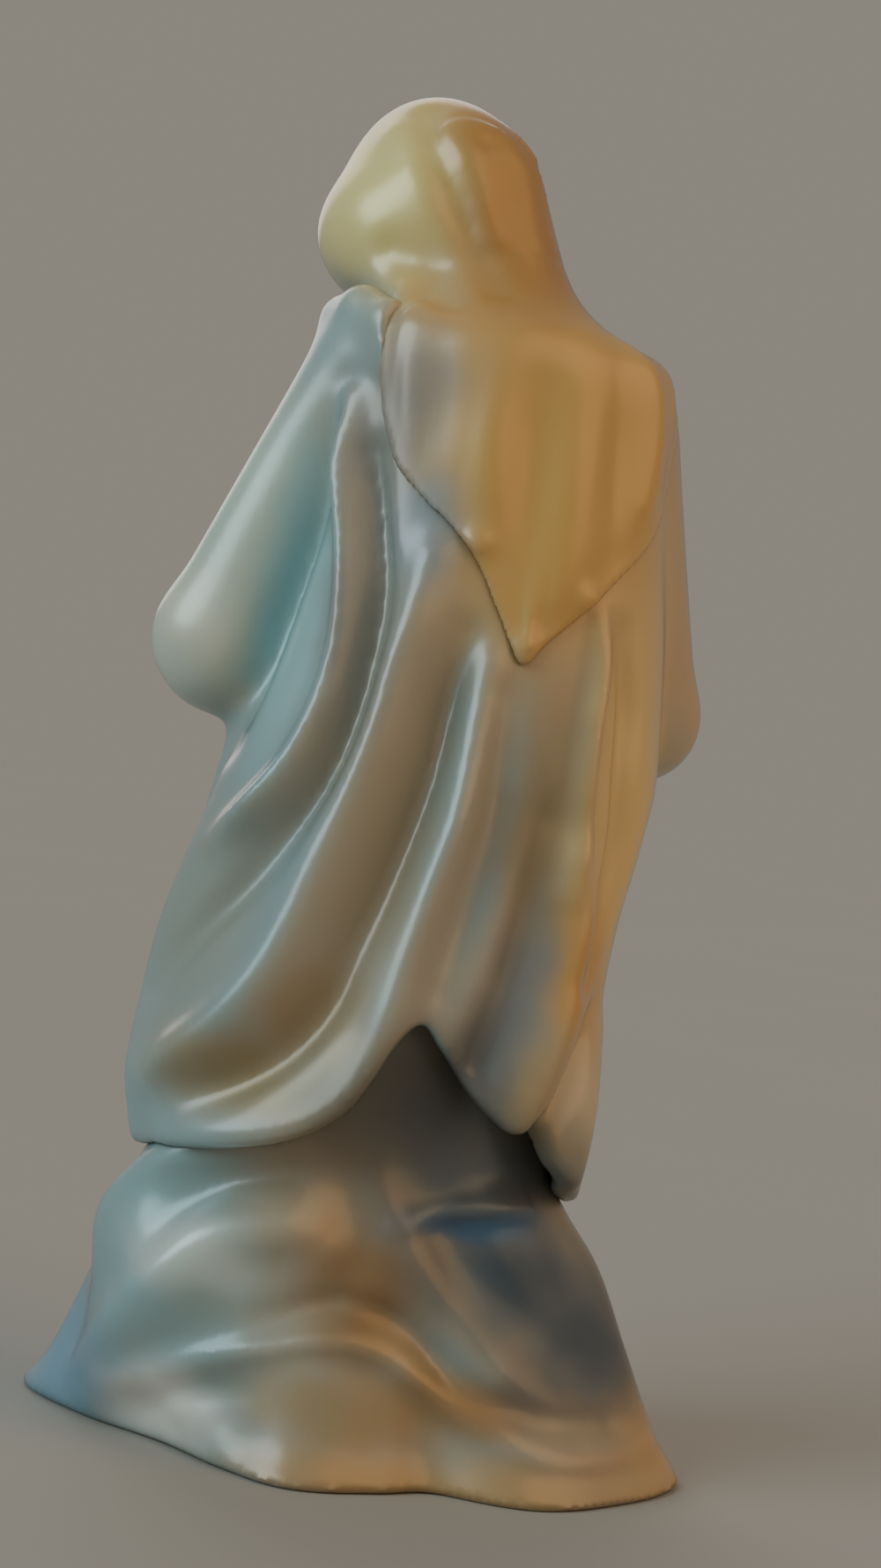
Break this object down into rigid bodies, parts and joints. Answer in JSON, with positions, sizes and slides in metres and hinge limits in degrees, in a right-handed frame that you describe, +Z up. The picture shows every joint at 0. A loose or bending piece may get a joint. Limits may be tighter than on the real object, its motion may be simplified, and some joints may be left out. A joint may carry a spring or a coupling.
{
  "type": "madonna statue",
  "caption": "Standing porcelain Madonna in gown, long mantle and pointed veil, head bowed and turned to one side, hands pressed in prayer.",
  "frame": {"origin": "on the foot plane under the vertical axis of the body, near the middle of the base plate", "axes": "+Z up, the figure faces -Y, its own left is +X"},
  "size_m": [0.0455, 0.0357, 0.1013],
  "materials": {
    "bisque": "unglazed matt body of the foot",
    "lustre_gown": "white porcelain under a glossy pearl lustre",
    "lustre_sash": "white porcelain under a glossy pearl lustre",
    "lustre_mantle": "white porcelain under a glossy pearl lustre",
    "lustre_veil": "white porcelain under a glossy pearl lustre, warmer where it is thick",
    "glazed_skin": "ivory porcelain under clear glaze",
    "glazed_hair": "ivory porcelain with thicker glaze in the grooves"
  },
  "bodies": {
    "root": {"base_plate": "bisque", "gown_skirt": "lustre_gown", "gown_bodice": "lustre_gown", "sash": "lustre_sash", "mantle": "lustre_mantle", "veil": "lustre_veil", "head": "glazed_skin", "hair": "glazed_hair", "left_sleeve": "lustre_gown", "right_sleeve": "lustre_gown", "left_cuff": "lustre_gown", "right_cuff": "lustre_gown", "left_hand": "glazed_skin", "right_hand": "glazed_skin"}
  },
  "joints": []
}
